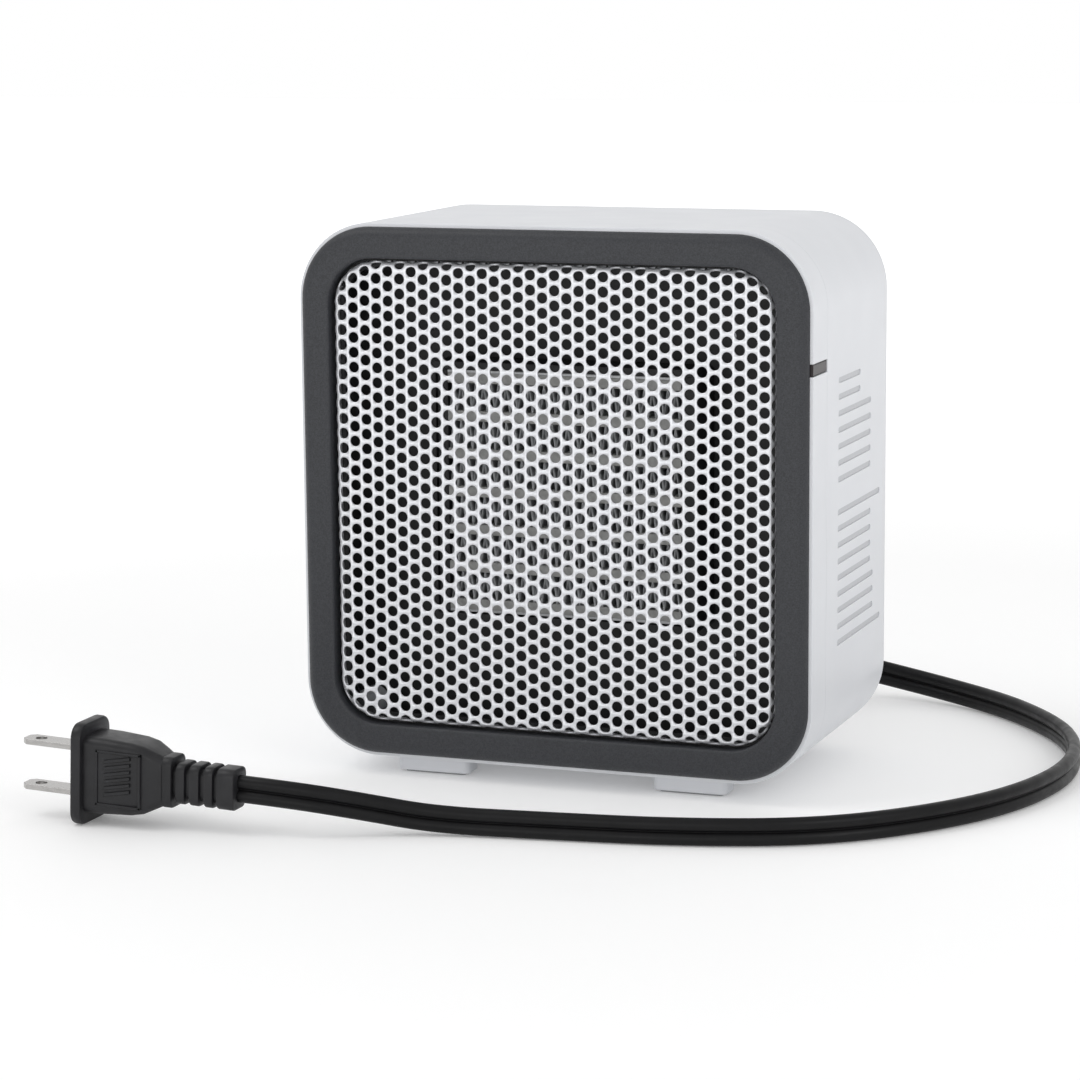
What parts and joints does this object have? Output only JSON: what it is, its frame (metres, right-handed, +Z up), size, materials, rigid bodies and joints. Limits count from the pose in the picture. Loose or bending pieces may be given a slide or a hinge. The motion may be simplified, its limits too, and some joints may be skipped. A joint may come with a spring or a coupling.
{
  "type": "ceramic space heater",
  "caption": "Cube-shaped desktop ceramic fan heater with a perforated metal front, shallow side grooves, tip-over switch and a mains lead.",
  "frame": {"origin": "middle of the heater's footprint on the floor, its cord left out", "axes": "+Z up, -Y out of the front grille, +X to the heater's left as it faces out (the viewer's right)"},
  "size_m": [0.2681, 0.2318, 0.1595],
  "materials": {
    "bezel_plastic": "fine moulded texture, charcoal",
    "grille_metal": "silver lacquered perforated sheet",
    "white_plastic": "satin white ABS",
    "black_plastic": "black heat-resistant plastic",
    "smoked_lens": "smoked polycarbonate",
    "neon_glass": "clear glass",
    "steel": "zinc-plated steel",
    "ceramic": "fired ceramic with silvered faces",
    "aluminium_fin": "plain aluminium foil",
    "brass": "plain",
    "nickel": "nickel-plated brass",
    "rubber_pad": "grey rubber",
    "fan_plastic": "black polypropylene",
    "circuit_board": "phenolic board",
    "ferrite": "sintered ferrite",
    "wire_insulation": "black PVC",
    "cord_pvc": "black PVC, slight sheen",
    "rocker_plastic": "gloss black nylon"
  },
  "bodies": {
    "heater": {"front_bezel": "bezel_plastic", "front_grille": "grille_metal", "grille_retainer": "black_plastic", "front_ring": "white_plastic", "indicator_lens": "smoked_lens", "indicator_lamp": "neon_glass", "housing_shell": "white_plastic", "rear_cover": "white_plastic", "case_screws": "steel", "heater_baffle": "black_plastic", "ptc_ceramic_bars": "ceramic", "ptc_fins": "aluminium_fin", "ptc_end_plates": "aluminium_fin", "ptc_side_frames": "black_plastic", "thermal_cutoff": "steel", "thermal_fuse": "nickel", "fan_duct": "black_plastic", "duct_screws": "steel", "motor_can": "steel", "motor_magnets": "ferrite", "motor_end_cap": "black_plastic", "motor_bushes": "brass", "motor_screws": "steel", "switch_body": "black_plastic", "switch_terminals": "brass", "plunger_guide": "white_plastic", "plunger_spring": "steel", "microswitch_body": "black_plastic", "microswitch_bracket": "steel", "rectifier_board": "circuit_board", "board_components": "ferrite", "terminal_block": "white_plastic", "inner_leads": "wire_insulation", "cord_gland": "black_plastic", "power_cord": "cord_pvc", "plug_body": "cord_pvc", "plug_blades": "nickel", "front_left_foot": "white_plastic", "front_left_foot_pad": "rubber_pad", "front_right_foot": "white_plastic", "front_right_foot_pad": "rubber_pad", "rear_left_foot": "white_plastic", "rear_left_foot_pad": "rubber_pad", "rear_right_foot": "white_plastic", "rear_right_foot_pad": "rubber_pad"},
    "fan": {"fan_impeller": "fan_plastic", "motor_shaft": "steel", "motor_rotor": "steel"},
    "rocker": {"switch_rocker": "rocker_plastic"},
    "plunger": {"tip_plunger": "black_plastic"},
    "lever": {"microswitch_lever": "steel"}
  },
  "joints": [
    {"name": "fan_spin", "type": "hinge", "parent": "heater", "child": "fan", "pos_m": [0, 0, 0.0825], "axis": [0, 1, 0], "continuous": true},
    {"name": "rocker_tilt", "type": "hinge", "parent": "heater", "child": "rocker", "pos_m": [0, 0.0364, 0.1435], "axis": [0, 0, 1], "range_deg": [0, 16]},
    {"name": "plunger_slide", "type": "slide", "parent": "heater", "child": "plunger", "axis": [0, 0, -1], "range_m": [0, 0.004], "stiffness_N_per_m": 80, "springref_m": 0.006, "deforming": ["plunger_spring"]},
    {"name": "lever_swing", "type": "hinge", "parent": "heater", "child": "lever", "pos_m": [-0.012, 0.0165, 0.0301], "axis": [0, 1, 0], "range_deg": [0, 20]}
  ],
  "couplings": [
    {"joint": "lever_swing", "follows": "plunger_slide", "rad_per_m": 80}
  ]
}
